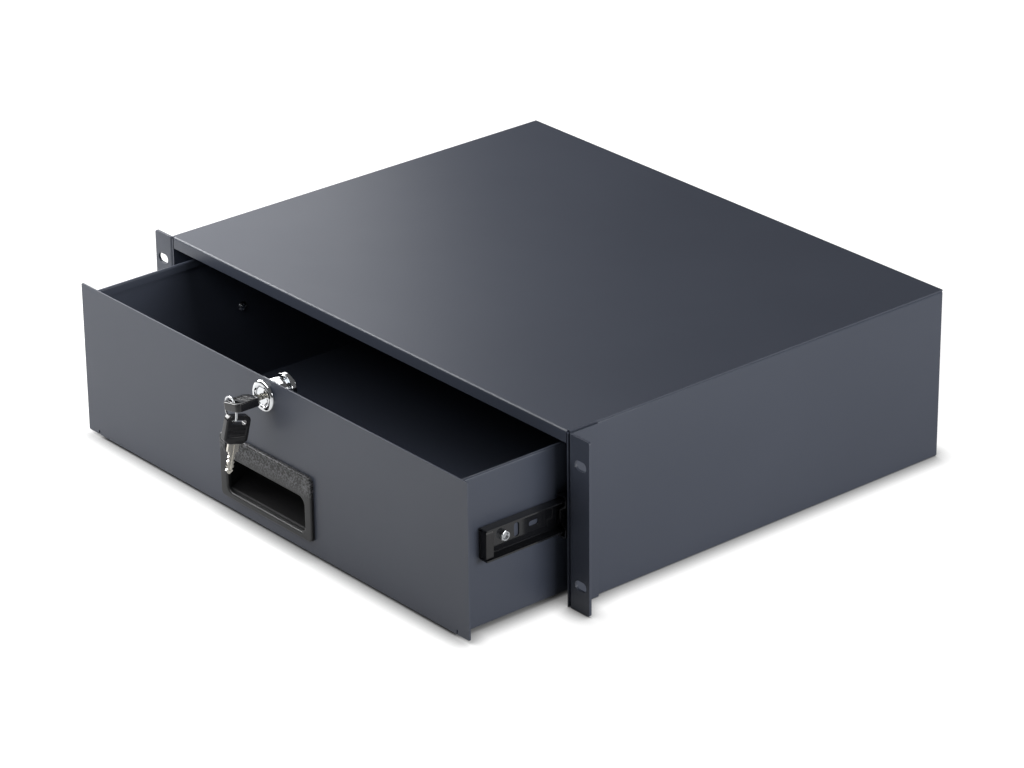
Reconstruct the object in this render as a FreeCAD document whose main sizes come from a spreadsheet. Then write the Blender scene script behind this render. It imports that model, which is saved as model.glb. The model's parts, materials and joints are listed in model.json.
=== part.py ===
import FreeCAD, Part
import math
import os
import re
import Sketcher

# Sliding rack drawer, 3U: a folded steel case with rack ears, a drawer on two three-section
# ball-bearing slides, a moulded finger pull and a cam lock with its keys.
# Frame: X to the right, Y to the back, Z up; the origin is the centre of the four ear slots on
# the ears' front plane. Pieces are modelled with Z = 0 at the case bottom, the drawer shut,
# then each is placed; the drawer is placed as it stands, rest_open millimetres out.

Vector = FreeCAD.Vector
doc = FreeCAD.newDocument("SlidingRackDrawer")
sheet = doc.addObject("Spreadsheet::Sheet", "Dimensions")

DIMENSIONS = [
    # rack ears
    ("ear_flange", "20.95"), ("slot_inset", "8.75"), ("slot_spacing_z", "88.9"),
    ("slot_first", "20.4"), ("slot_length", "11.5"), ("slot_width", "7.1"),
    ("ear_sheet", "2.0"), ("ear_bottom", "0.6"), ("ear_leg", "25.0"), ("ear_corner", "2.0"),
    ("ear_bend", "1.0"),
    # case
    ("case_width", "440.7"), ("case_depth", "350.5"), ("case_height", "130.6"),
    ("case_sheet", "1.2"), ("case_bend", "0.5"), ("case_flange", "14.0"),
    ("lip_drop", "9.2"), ("lip_end_gap", "0.8"), ("rear_flange", "12.0"),
    ("floor_setback", "20.0"), ("flange_clearance", "1.0"),
    # slides
    ("slide_thick", "12.7"), ("slide_sheet", "1.2"), ("slide_bend", "0.8"),
    ("slide_front", "10.0"), ("case_member_height", "42.0"), ("case_member_length", "296.0"),
    ("middle_height", "31.4"), ("middle_front", "42.0"), ("middle_length", "260.0"),
    ("drawer_member_height", "23.4"), ("drawer_member_front", "17.5"),
    ("drawer_member_length", "300.0"), ("drawer_member_depth", "8.55"),
    ("member_gap", "0.3"), ("bulge_half", "4.6"), ("bulge_slope", "4.0"), ("bulge_bend", "1.3"),
    ("hook_drop", "1.1"),
    ("ball_clearance", "0.05"), ("balls_per_row", "5"),
    ("outer_cage_front", "83.8"), ("outer_cage_length", "120.0"),
    ("outer_cage_width", "5.0"), ("outer_cage_thick", "1.2"),
    ("inner_cage_front", "126.2"), ("inner_cage_length", "100.0"),
    ("inner_cage_width", "3.0"), ("inner_cage_thick", "0.8"),
    ("stud_first", "40.0"), ("stud_pitch", "110.0"),
    ("screw_first", "37.5"), ("screw_pitch", "96.0"), ("screw_diameter", "4.0"),
    ("screw_hole", "4.6"), ("nut_flats", "7.0"), ("stud_nut_height", "3.2"),
    ("drawer_nut_height", "3.0"), ("screw_short", "1.2"), ("screw_head", "7.6"), ("screw_head_height", "2.3"),
    ("bumper_thick", "3.7"),
    # drawer
    ("rest_open", "83.5"), ("panel_side_gap", "2.3"), ("panel_bottom", "2.6"),
    ("panel_top_gap", "2.8"), ("drawer_sheet", "1.2"), ("drawer_bend", "0.5"),
    ("fold_end_gap", "2.95"), ("fold_bottom", "1.9"), ("fold_depth", "16.0"),
    ("tray_below_panel", "3.6"), ("tray_back_gap", "24.5"), ("hem_width", "2.95"),
    ("hem_drop", "6.0"), ("tray_flange", "12.0"), ("tray_relief", "0.8"),
    # finger pull
    ("pull_width", "103.6"), ("pull_bottom", "12.0"), ("pull_top", "61.0"), ("pull_proud", "2.8"),
    ("pull_corner", "4.0"), ("pull_body_width", "90.0"), ("pull_body_bottom", "14.0"),
    ("pull_body_top", "57.5"), ("pull_depth", "18.0"), ("pull_wall", "1.8"),
    ("opening_width", "87.6"), ("opening_bottom", "17.0"), ("opening_top", "43.5"),
    ("mouth_round", "1.8"), ("hood_rim", "2.0"),
    ("cutout_clearance", "0.5"),
    # lock
    ("lock_below_panel", "13.3"), ("lock_flange", "23.2"), ("lock_proud", "3.0"),
    ("lock_barrel", "19.0"), ("plug_recess", "1.1"), ("lock_length", "14.5"), ("plug_diameter", "14.0"),
    ("plug_clearance", "0.05"), ("lock_nut_flats", "22.0"), ("lock_nut_height", "3.5"),
    ("washer_at", "16.1"), ("washer_diameter", "22.4"), ("washer_thick", "3.6"),
    ("stud_square", "7.0"), ("cam_thick", "1.6"), ("cam_reach", "23.0"), ("cam_width", "11.0"),
    ("cam_forward", "3.2"), ("cam_crank", "13.3"),
    # keys and ring
    ("key_tilt", "11.0"), ("bow_width", "18.2"), ("bow_length", "20.8"), ("bow_thick", "6.0"),
    ("bow_gap", "5.8"), ("bow_corner", "3.5"), ("bow_bar", "3.0"), ("bow_slot_length", "11.4"),
    ("bow_slot_width", "3.4"), ("blade_thick", "2.0"), ("shoulder_width", "8.4"),
    ("shoulder_length", "6.3"), ("blade_width", "5.4"), ("blade_length", "16.2"),
    ("key_clearance", "0.15"), ("ring_radius", "8.9"), ("ring_wire", "1.6"),
    ("ring_angle", "11.6"), ("ring_lift", "3.7"), ("ring_setback", "1.3"), ("spare_lean", "12.0"),
    ("spare_play", "0.8"), ("tang_length", "4.0"), ("groove_depth", "0.4"),
    ("cam_screw_thread", "4.0"), ("cam_screw_clearance", "0.1"),
]
DERIVED = [
    ("overall_width", "=case_width + 2 * ear_flange"),
    ("slot_spacing_x", "=overall_width - 2 * slot_inset"),
    ("ear_height", "=case_height - case_sheet - ear_bottom"),
    ("slide_level", "=case_height / 2"),
    ("panel_top", "=case_height - lip_drop - panel_top_gap"),
    ("tray_top", "=panel_top - tray_below_panel"),
    ("tray_back", "=case_depth - tray_back_gap"),
    ("lock_level", "=panel_top - lock_below_panel"),
    ("pattern_level", "=slot_first + slot_spacing_z / 2"),
    ("case_half", "=case_width / 2"),
    ("case_inside", "=case_half - case_sheet"),
    ("shell_top", "=case_height - case_sheet"),
    ("case_outer_bend", "=case_bend + case_sheet"),
    ("lip_width", "=case_width - 2 * case_sheet - 2 * lip_end_gap"),
    ("slide_outer_bend", "=slide_bend + slide_sheet"),
    ("case_half_height", "=case_member_height / 2"),
    ("middle_half_height", "=middle_height / 2"),
    ("drawer_half_height", "=drawer_member_height / 2"),
    ("case_web", "=case_inside - slide_sheet"),
    ("middle_back", "=case_web - member_gap"),
    ("middle_web", "=middle_back - slide_sheet"),
    ("tray_half", "=case_inside - slide_thick"),
    ("drawer_web", "=tray_half + slide_sheet"),
    ("bulge_face", "=drawer_web + drawer_nut_height + member_gap + 0.05"),
    ("bulge_back", "=bulge_face + slide_sheet"),
    ("bulge_shift", "=slide_sheet * tan(atan((middle_web - bulge_face) / bulge_slope) / 2)"),
    ("case_tip", "=case_inside - 10.25"),
    ("middle_tip", "=tray_half + 2.55"),
    ("drawer_tip", "=tray_half + drawer_member_depth"),
    ("outer_gap_low", "=middle_half_height"),
    ("outer_gap_high", "=case_half_height - slide_sheet"),
    ("inner_gap_low", "=drawer_half_height"),
    ("inner_gap_high", "=middle_half_height - slide_sheet"),
    ("outer_ball_x", "=case_tip + 4.5"),
    ("inner_ball_x", "=middle_tip + 3.3"),
    ("outer_ball", "=outer_gap_high - outer_gap_low - 2 * ball_clearance"),
    ("inner_ball", "=inner_gap_high - inner_gap_low - 2 * ball_clearance"),
    ("drawer_outer_bend", "=drawer_bend + drawer_sheet"),
    ("floor_bottom", "=fold_bottom + drawer_sheet"),
    ("tray_inside", "=tray_half - drawer_sheet"),
    ("panel_half", "=case_inside - panel_side_gap"),
    ("fold_half", "=tray_half - fold_end_gap"),
    ("cam_at", "=washer_at + washer_thick"),
    ("bow_back", "=-lock_proud - bow_gap"),
    ("bow_front", "=bow_back - bow_length"),
    ("slot_front", "=bow_front + bow_bar"),
    ("blade_root", "=bow_back + shoulder_length"),
    ("blade_tip", "=blade_root + blade_length"),
]
row = 0
for alias, text in DIMENSIONS + DERIVED:
    row += 1
    sheet.set("A%d" % row, alias)
    sheet.set("B%d" % row, text)
    sheet.setAlias("B%d" % row, alias)
doc.recompute()
ALIASES = [alias for alias, text in DIMENSIONS + DERIVED]


def value(expression):
    """Number that an expression of sheet names has now."""
    return float(sheet.evalExpression(expression))


def bind(thing, path, expression):
    """Bind a property to an expression written with bare sheet names."""
    full = re.sub(r"[a-z][a-z_]*_[a-z_]+",
                  lambda found: "Dimensions." + found.group(0) if found.group(0) in ALIASES
                  else found.group(0), expression)
    thing.setExpression(path, full)


def new_body(name):
    body = doc.addObject("PartDesign::Body", name)
    body.Label = name
    return body


def new_sketch(body, name, plane, at):
    """Sketch on one of the body's origin planes, moved to the coordinate at along its axis."""
    sketch = body.newObject("Sketcher::SketchObject", name)
    for feature in body.Origin.OriginFeatures:
        if feature.Role == plane + "_Plane":
            sketch.AttachmentSupport = [(feature, "")]
    sketch.MapMode = "FlatFace"
    sign = "-1" if plane == "XZ" else "1"
    bind(sketch, "AttachmentOffset.Base.z", "%s * (%s)" % (sign, at))
    return sketch


def pin(sketch, geometry, position, x, y):
    """Fix one sketch point at the coordinates that two expressions give."""
    for kind, expression in (("DistanceX", x), ("DistanceY", y)):
        index = sketch.addConstraint(
            Sketcher.Constraint(kind, geometry, position, value(expression)))
        bind(sketch, "Constraints[%d]" % index, expression)


def outline(sketch, corners):
    """Closed outline; a corner is (x, y) or (x, y, radius), all expressions of sheet names."""
    count = len(corners)
    points = [Vector(value(corner[0]), value(corner[1]), 0) for corner in corners]
    starts = []
    stops = []
    for i, corner in enumerate(corners):
        before = (points[i - 1] - points[i]).normalize()
        after = (points[(i + 1) % count] - points[i]).normalize()
        reach = 0.0
        if len(corner) == 3:
            half_angle = math.acos(max(-1.0, min(1.0, before.dot(after)))) / 2
            reach = value(corner[2]) / math.tan(half_angle)
        starts.append(points[i] + before * reach)
        stops.append(points[i] + after * reach)
    lines = []
    for i in range(count):
        lines.append(sketch.addGeometry(Part.LineSegment(stops[i], starts[(i + 1) % count]), False))
    for i, corner in enumerate(corners):
        into = lines[i - 1]
        out = lines[i]
        if len(corner) == 2:
            sketch.addConstraint(Sketcher.Constraint("Coincident", into, 2, out, 1))
            pin(sketch, out, 1, corner[0], corner[1])
            continue
        radius = value(corner[2])
        middle = (starts[i] + stops[i]) * 0.5
        axis = (middle - points[i]).normalize()
        half_chord = (stops[i] - starts[i]).Length / 2
        centre = middle + axis * math.sqrt(max(radius * radius - half_chord * half_chord, 0.0))
        first = starts[i] - centre
        last = stops[i] - centre
        angles = [math.atan2(first.y, first.x), math.atan2(last.y, last.x)]
        ends = [1, 2]
        if first.x * last.y - first.y * last.x < 0:
            angles.reverse()
            ends.reverse()
        circle = Part.Circle(centre, Vector(0, 0, 1), radius)
        arc = sketch.addGeometry(Part.ArcOfCircle(circle, angles[0], angles[1]), False)
        corner_point = sketch.addGeometry(Part.Point(points[i]), True)
        pin(sketch, corner_point, 1, corner[0], corner[1])
        sketch.addConstraint(Sketcher.Constraint("PointOnObject", corner_point, 1, into))
        sketch.addConstraint(Sketcher.Constraint("PointOnObject", corner_point, 1, out))
        sketch.addConstraint(Sketcher.Constraint("Tangent", into, 2, arc, ends[0]))
        sketch.addConstraint(Sketcher.Constraint("Tangent", out, 1, arc, ends[1]))
        index = sketch.addConstraint(Sketcher.Constraint("Radius", arc, radius))
        bind(sketch, "Constraints[%d]" % index, corner[2])


def box_outline(sketch, left, bottom, right, top, radius=None):
    """Rectangle with corners square or rounded."""
    corners = [(left, bottom), (right, bottom), (right, top), (left, top)]
    if radius:
        corners = [(x, y, radius) for x, y in corners]
    outline(sketch, corners)


def round_hole(sketch, x, y, diameter):
    centre = Vector(value(x), value(y), 0)
    circle = Part.Circle(centre, Vector(0, 0, 1), value(diameter) / 2)
    index = sketch.addGeometry(circle, False)
    pin(sketch, index, 3, x, y)
    size = sketch.addConstraint(Sketcher.Constraint("Diameter", index, value(diameter)))
    bind(sketch, "Constraints[%d]" % size, diameter)


def long_hole(sketch, x, y, length, width, upright=False):
    """Slot with round ends about a centre; length is end to end."""
    reach = "((%s) - (%s)) / 2" % (length, width)
    radius = value(width) / 2
    half = value(reach)
    centre = Vector(value(x), value(y), 0)
    along = Vector(0, 1, 0) if upright else Vector(1, 0, 0)
    turn = math.pi / 2 if upright else 0.0
    across = Vector(-along.y, along.x, 0)
    far = centre + along * half
    near = centre - along * half
    ring = Vector(0, 0, 1)
    arc_far = sketch.addGeometry(Part.ArcOfCircle(
        Part.Circle(far, ring, radius), turn - math.pi / 2, turn + math.pi / 2), False)
    arc_near = sketch.addGeometry(Part.ArcOfCircle(
        Part.Circle(near, ring, radius), turn + math.pi / 2, turn + 3 * math.pi / 2), False)
    left = sketch.addGeometry(Part.LineSegment(far + across * radius, near + across * radius), False)
    right = sketch.addGeometry(Part.LineSegment(near - across * radius, far - across * radius), False)
    sketch.addConstraint(Sketcher.Constraint("Tangent", arc_far, 2, left, 1))
    sketch.addConstraint(Sketcher.Constraint("Tangent", left, 2, arc_near, 1))
    sketch.addConstraint(Sketcher.Constraint("Tangent", arc_near, 2, right, 1))
    sketch.addConstraint(Sketcher.Constraint("Tangent", right, 2, arc_far, 1))
    if upright:
        pin(sketch, arc_far, 3, x, "(%s) + %s" % (y, reach))
        index = sketch.addConstraint(Sketcher.Constraint("DistanceY", arc_near, 3, near.y))
        bind(sketch, "Constraints[%d]" % index, "(%s) - %s" % (y, reach))
    else:
        pin(sketch, arc_far, 3, "(%s) + %s" % (x, reach), y)
        index = sketch.addConstraint(Sketcher.Constraint("DistanceX", arc_near, 3, near.x))
        bind(sketch, "Constraints[%d]" % index, "(%s) - %s" % (x, reach))
    index = sketch.addConstraint(Sketcher.Constraint("Radius", arc_far, radius))
    bind(sketch, "Constraints[%d]" % index, "(%s) / 2" % width)


def raise_solid(body, sketch, name, length):
    """Pad the sketch towards the positive axis of its plane."""
    pad = body.newObject("PartDesign::Pad", name)
    pad.Profile = sketch
    bind(pad, "Length", length)
    pad.Reversed = "XZ" in sketch.AttachmentSupport[0][0].Role
    sketch.Visibility = False
    return pad


def cut_solid(body, sketch, name, length):
    """Pocket the sketch towards the positive axis of its plane."""
    pocket = body.newObject("PartDesign::Pocket", name)
    pocket.Profile = sketch
    bind(pocket, "Length", length)
    pocket.Reversed = "XZ" not in sketch.AttachmentSupport[0][0].Role
    sketch.Visibility = False
    return pocket


def turn_solid(body, sketch, name):
    """Revolve the sketch a full turn about its own vertical axis."""
    turned = body.newObject("PartDesign::Revolution", name)
    turned.Profile = sketch
    turned.ReferenceAxis = (sketch, ["V_Axis"])
    turned.Angle = 360.0
    sketch.Visibility = False
    return turned


def round_edges(body, name, radius, chosen):
    """Fillet the edges of the newest feature that the test picks."""
    doc.recompute()
    base = body.Tip
    edges = ["Edge%d" % (i + 1) for i, edge in enumerate(base.Shape.Edges) if chosen(edge)]
    fillet = body.newObject("PartDesign::Fillet", name)
    fillet.Base = (base, edges)
    bind(fillet, "Radius", radius)
    return fillet


def place(thing, y="0", z="-pattern_level"):
    """Put a finished piece in the shared frame."""
    bind(thing, "Placement.Base.y", y)
    bind(thing, "Placement.Base.z", z)
    nodes.append(thing)


def mirrored(source, name):
    """The same piece on the left-hand side."""
    other = doc.addObject("Part::Mirroring", name)
    other.Label = name
    other.Source = source
    other.Normal = Vector(1, 0, 0)
    nodes.append(other)
    return other


def group(name, solids):
    """Identical small pieces as one node, already in the shared frame."""
    feature = doc.addObject("Part::Feature", name)
    feature.Label = name
    feature.Shape = Part.makeCompound(solids)
    nodes.append(feature)
    return feature


nodes = []
OUT = "-rest_open"
LEVEL = value("pattern_level")

# ---- case: one folded sheet for the bottom and sides, cover with a lip, rear panel ----
shell = new_body("case_shell")
section = new_sketch(shell, "ShellSection", "XZ", "0")
right_side = [("case_half - case_flange", "shell_top"), ("case_half - case_flange", "shell_top - case_sheet"),
              ("case_inside", "shell_top - case_sheet", "case_bend"), ("case_inside", "case_sheet", "case_bend")]
right_outer = [("case_half", "0", "case_outer_bend"), ("case_half", "shell_top", "case_outer_bend")]
left_side = [("-(%s)" % c[0],) + c[1:] for c in reversed(right_side)]
left_outer = [("-(%s)" % c[0],) + c[1:] for c in reversed(right_outer)]
outline(section, right_side + left_side + left_outer + right_outer)
raise_solid(shell, section, "ShellSheet", "case_depth")
for side, sign in (("Right", ""), ("Left", "-1 * ")):
    relief = new_sketch(shell, "LipRelief" + side, "XY", "shell_top - 4 * case_sheet")
    box_outline(relief, sign + "(case_half - case_flange - 2)", "-2",
                sign + "case_inside", "case_sheet + member_gap + 1")
    cut_solid(shell, relief, "LipNotch" + side, "5 * case_sheet")
setback = new_sketch(shell, "FloorSetback", "XY", "-1")
box_outline(setback, "-case_inside", "-1", "case_inside", "floor_setback")
cut_solid(shell, setback, "FloorSetbackCut", "1 + case_outer_bend")
place(shell)

cover = new_body("top_cover")
plate = new_sketch(cover, "CoverPlate", "XY", "shell_top")
box_outline(plate, "-case_half", "case_outer_bend", "case_half", "case_depth")
raise_solid(cover, plate, "CoverSheet", "case_sheet")
lip = new_sketch(cover, "LipSection", "YZ", "-lip_width / 2")
outline(lip, [("0", "case_height - lip_drop"), ("case_sheet", "case_height - lip_drop"),
              ("case_sheet", "shell_top", "case_bend"), ("case_outer_bend + 3", "shell_top"),
              ("case_outer_bend + 3", "case_height"), ("0", "case_height", "case_outer_bend")])
raise_solid(cover, lip, "FrontLip", "lip_width")
place(cover)

rear = new_body("rear_panel")
plate = new_sketch(rear, "RearPlate", "XZ", "case_depth - case_sheet")
box_outline(plate, "-case_inside", "case_sheet", "case_inside", "shell_top - case_sheet", "2 * case_sheet")
raise_solid(rear, plate, "RearSheet", "case_sheet")
fold = new_sketch(rear, "RearFolds", "YZ", "-(case_half - case_flange - flange_clearance)")
outline(fold, [("case_depth", "case_sheet", "case_outer_bend"), ("case_depth", "shell_top", "case_outer_bend"),
               ("case_depth - rear_flange", "shell_top"), ("case_depth - rear_flange", "shell_top - case_sheet"),
               ("case_depth - case_sheet", "shell_top - case_sheet", "case_bend"),
               ("case_depth - case_sheet", "2 * case_sheet", "case_bend"),
               ("case_depth - rear_flange", "2 * case_sheet"), ("case_depth - rear_flange", "case_sheet")])
raise_solid(rear, fold, "RearFlanges", "2 * (case_half - case_flange - flange_clearance)")
place(rear)

# ---- rack ears: bent brackets spot-welded to the case sides, two slots each ----
ear = new_body("rack_ear_right")
section = new_sketch(ear, "EarSection", "XY", "ear_bottom")
outline(section, [("case_half", "0", "ear_sheet + ear_bend"), ("overall_width / 2", "0"),
                  ("overall_width / 2", "ear_sheet"), ("case_half + ear_sheet", "ear_sheet", "ear_bend"),
                  ("case_half + ear_sheet", "ear_leg"), ("case_half", "ear_leg")])
raise_solid(ear, section, "EarSheet", "ear_height")
slots = new_sketch(ear, "EarSlots", "XZ", "-1")
for level in ("slot_first", "slot_first + slot_spacing_z"):
    long_hole(slots, "slot_spacing_x / 2", level, "slot_length", "slot_width")
cut_solid(ear, slots, "SlotCut", "ear_sheet + 2")
round_edges(ear, "EarCorners", "ear_corner",
            lambda edge: abs(edge.BoundBox.YLength - value("ear_sheet")) < 0.01
            and edge.BoundBox.XMin > value("overall_width / 2") - 0.01)
place(ear)
mirrored(ear, "rack_ear_left")

# ---- slides, right-hand side first; the left ones are mirror images ----
case_member = new_body("slide_case_member_right")
section = new_sketch(case_member, "CaseMemberSection", "XZ", "slide_front")
upper = [("case_inside", "slide_level + case_half_height", "slide_outer_bend"),
         ("case_tip", "slide_level + case_half_height"),
         ("case_tip", "slide_level + outer_gap_high - hook_drop"),
         ("case_tip + slide_sheet", "slide_level + outer_gap_high - hook_drop"),
         ("case_tip + slide_sheet", "slide_level + outer_gap_high"),
         ("case_web", "slide_level + outer_gap_high", "slide_bend")]
lower = [(c[0], c[1].replace("+", "-").replace("high - hook", "high + hook")) + c[2:]
         for c in reversed(upper)]
outline(section, upper + lower)
raise_solid(case_member, section, "CaseMemberSheet", "case_member_length")
holes = new_sketch(case_member, "StudHoles", "YZ", "case_web - 1")
for i in range(3):
    round_hole(holes, "stud_first + %d * stud_pitch" % i, "slide_level", "screw_hole")
cut_solid(case_member, holes, "StudHoleCut", "slide_sheet + 2")
place(case_member)
mirrored(case_member, "slide_case_member_left")

middle = new_body("slide_middle_member_right")
section = new_sketch(middle, "MiddleSection", "XZ", "middle_front")
upper = [("bulge_back", "slide_level + (bulge_half - bulge_shift)", "bulge_bend"),
         ("middle_back", "slide_level + (bulge_half - bulge_shift) + bulge_slope", "bulge_bend + slide_sheet"),
         ("middle_back", "slide_level + middle_half_height", "slide_outer_bend"),
         ("middle_tip", "slide_level + middle_half_height"),
         ("middle_tip", "slide_level + (inner_gap_high - hook_drop)"),
         ("middle_tip + slide_sheet", "slide_level + (inner_gap_high - hook_drop)"),
         ("middle_tip + slide_sheet", "slide_level + inner_gap_high"),
         ("middle_web", "slide_level + inner_gap_high", "slide_bend"),
         ("middle_web", "slide_level + (bulge_half + bulge_slope)", "bulge_bend"),
         ("bulge_face", "slide_level + bulge_half", "bulge_bend + slide_sheet")]
lower = [(c[0], "2 * slide_level - (%s)" % c[1]) + c[2:] for c in reversed(upper)]
outline(section, upper + lower)
raise_solid(middle, section, "MiddleSheet", "middle_length")
holes = new_sketch(middle, "MiddleAccessHoles", "YZ", "bulge_face - 1")
for part in ("0.12", "0.5", "0.88"):
    long_hole(holes, "middle_front + %s * middle_length" % part, "slide_level", "14", "6.5")
cut_solid(middle, holes, "MiddleHoleCut", "slide_sheet + 2")
place(middle, "-rest_open / 2")
mirrored(middle, "slide_middle_member_left")

drawer_member = new_body("slide_drawer_member_right")
section = new_sketch(drawer_member, "DrawerMemberSection", "XZ", "drawer_member_front")
upper = [("drawer_web", "slide_level + (drawer_half_height - slide_sheet)", "slide_bend"),
         ("drawer_tip", "slide_level + (drawer_half_height - slide_sheet)"),
         ("drawer_tip", "slide_level + drawer_half_height"),
         ("tray_half", "slide_level + drawer_half_height", "slide_outer_bend")]
lower = [(c[0], "2 * slide_level - (%s)" % c[1]) + c[2:] for c in reversed(upper)]
outline(section, upper + lower)
raise_solid(drawer_member, section, "DrawerMemberSheet", "drawer_member_length")
holes = new_sketch(drawer_member, "DrawerMemberHoles", "YZ", "tray_half - 1")
for i in range(3):
    hole_at = "screw_first + %d * screw_pitch" % i
    round_hole(holes, hole_at, "slide_level", "screw_hole")
    long_hole(holes, hole_at + " + 11.7", "slide_level", "10.4", "4.5", True)
    long_hole(holes, hole_at + " + 26.6", "slide_level", "8.5", "4")
cut_solid(drawer_member, holes, "DrawerHoleCut", "slide_sheet + 2")
place(drawer_member, OUT)
mirrored(drawer_member, "slide_drawer_member_left")


def ball_cage(kind, travel):
    """Upper and lower ball retainer strips of one slide with their row of balls."""
    strip = doc.addObject("PartDesign::Body", kind + "_strip")
    middle_level = "slide_level + (%s_gap_low + %s_gap_high) / 2" % (kind, kind)
    sketch = new_sketch(strip, kind + "_strip_plan", "XY", "%s - %s_cage_thick / 2" % (middle_level, kind))
    left = "%s_ball_x - %s_cage_width / 2" % (kind, kind)
    right = "%s_ball_x + %s_cage_width / 2" % (kind, kind)
    front = "%s_cage_front" % kind
    back = "%s_cage_front + %s_cage_length" % (kind, kind)
    box_outline(sketch, left, front, right, back)
    rows = int(value("balls_per_row"))
    spots = ["%s + %s_cage_length * (%d + 0.5) / %d" % (front, kind, i, rows) for i in range(rows)]
    for spot in spots:
        round_hole(sketch, "%s_ball_x" % kind, spot, "%s_ball + 2 * ball_clearance" % kind)
    raise_solid(strip, sketch, kind + "_strip_pad", kind + "_cage_thick")
    lower_strip = doc.addObject("Part::Mirroring", kind + "_strip_lower")
    lower_strip.Source = strip
    lower_strip.Normal = Vector(0, 0, 1)
    bind(lower_strip, "Base.z", "slide_level")
    cage = doc.addObject("Part::Compound", "slide_%s_cage_right" % kind)
    cage.Label = cage.Name
    cage.Links = [strip, lower_strip]
    place(cage, travel)
    mirrored(cage, "slide_%s_cage_left" % kind)
    radius = value("%s_ball" % kind) / 2
    height = value(middle_level) - value("slide_level")
    for side, sign in (("right", 1), ("left", -1)):
        balls = []
        for spot in spots:
            for end in (-1, 1):
                centre = Vector(sign * value("%s_ball_x" % kind), value(spot) + value(travel),
                                value("slide_level") + end * height - LEVEL)
                balls.append(Part.makeSphere(radius, centre))
        group("slide_%s_balls_%s" % (kind, side), balls)


ball_cage("outer", "-rest_open / 4")
ball_cage("inner", "-rest_open * 3 / 4")

bumper = new_body("rear_bumper_right")
block = new_sketch(bumper, "RearBumperShape", "XZ", "slide_front + case_member_length - bumper_thick")
box_outline(block, "bulge_back + 0.3", "slide_level - 7", "case_web", "slide_level + 7", "1.5")
raise_solid(bumper, block, "RearBumperPad", "bumper_thick")
place(bumper)
mirrored(bumper, "rear_bumper_left")

end_cap = new_body("slide_end_cap_right")
block = new_sketch(end_cap, "EndCapShape", "XZ", "drawer_member_front")
box_outline(block, "drawer_web", "slide_level - (drawer_half_height - slide_sheet) + 0.3",
            "drawer_tip - 0.6", "slide_level + (drawer_half_height - slide_sheet) - 0.3", "1.6")
raise_solid(end_cap, block, "EndCapPad", "6.5")
place(end_cap, OUT)
mirrored(end_cap, "slide_end_cap_left")

# ---- drawer: panel with a bottom fold, tray with hemmed sides, tray rear wall ----
panel = new_body("front_panel")
face = new_sketch(panel, "PanelFace", "XZ", "0")
box_outline(face, "-panel_half", "panel_bottom", "panel_half", "panel_top", "1")
raise_solid(panel, face, "PanelSheet", "drawer_sheet")
fold = new_sketch(panel, "PanelFold", "YZ", "-fold_half")
outline(fold, [("0", "fold_bottom", "drawer_outer_bend"), ("fold_depth", "fold_bottom"),
               ("fold_depth", "floor_bottom"), ("drawer_sheet", "floor_bottom", "drawer_bend"),
               ("drawer_sheet", "panel_bottom + 6"), ("0", "panel_bottom + 6")])
raise_solid(panel, fold, "BottomFold", "2 * fold_half")
openings = new_sketch(panel, "PanelOpenings", "XZ", "-1")
round_hole(openings, "0", "lock_level", "lock_barrel + 0.2")
box_outline(openings, "-pull_body_width / 2 - cutout_clearance", "pull_body_bottom - cutout_clearance",
            "pull_body_width / 2 + cutout_clearance", "pull_body_top + cutout_clearance", "5")
cut_solid(panel, openings, "PanelCut", "drawer_sheet + 2")
relief = new_sketch(panel, "FoldReliefs", "XZ", "-1")
for sign in ("", "-1 * "):
    box_outline(relief, sign + "(fold_half - 0.01)", "panel_bottom - 2",
                sign + "(fold_half + 1.5)", "panel_bottom + 3.2")
cut_solid(panel, relief, "ReliefCut", "drawer_sheet + 2")
place(panel, OUT)

tray = new_body("drawer_tray")
section = new_sketch(tray, "TraySection", "XZ", "drawer_sheet")
right_side = [("tray_half", "floor_bottom", "drawer_outer_bend"), ("tray_half", "tray_top", "drawer_sheet"),
              ("tray_half - hem_width", "tray_top", "drawer_sheet"),
              ("tray_half - hem_width", "tray_top - hem_drop"),
              ("tray_half - hem_width + drawer_sheet", "tray_top - hem_drop"),
              ("tray_half - hem_width + drawer_sheet", "tray_top - drawer_sheet"),
              ("tray_inside", "tray_top - drawer_sheet"),
              ("tray_inside", "floor_bottom + drawer_sheet", "drawer_bend")]
left_side = [("-(%s)" % c[0],) + c[1:] for c in reversed(right_side)]
outline(section, right_side + left_side)
raise_solid(tray, section, "TraySheet", "tray_back - drawer_sheet")
clear = new_sketch(tray, "FloorRelief", "XY", "floor_bottom - 1")
box_outline(clear, "-tray_half", "0", "tray_half", "drawer_sheet + tray_relief")
cut_solid(tray, clear, "FloorReliefCut", "drawer_outer_bend + 1")
flanges = new_sketch(tray, "TrayFrontFlanges", "XZ", "drawer_sheet")
for sign in ("", "-1 * "):
    box_outline(flanges, sign + "(tray_inside - tray_flange)", "floor_bottom + 5",
                sign + "(tray_inside + drawer_sheet / 2)", "tray_top - hem_drop - 2")
raise_solid(tray, flanges, "TrayFlanges", "drawer_sheet")
for side, sign in (("Right", 1), ("Left", -1)):
    start = "tray_inside - 1" if sign > 0 else "-tray_half - 1"
    holes = new_sketch(tray, "TrayHoles" + side, "YZ", start)
    for i in range(3):
        round_hole(holes, "screw_first + %d * screw_pitch" % i, "slide_level", "screw_hole")
    cut_solid(tray, holes, "TrayHoleCut" + side, "drawer_sheet + 2")
place(tray, OUT)

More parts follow.
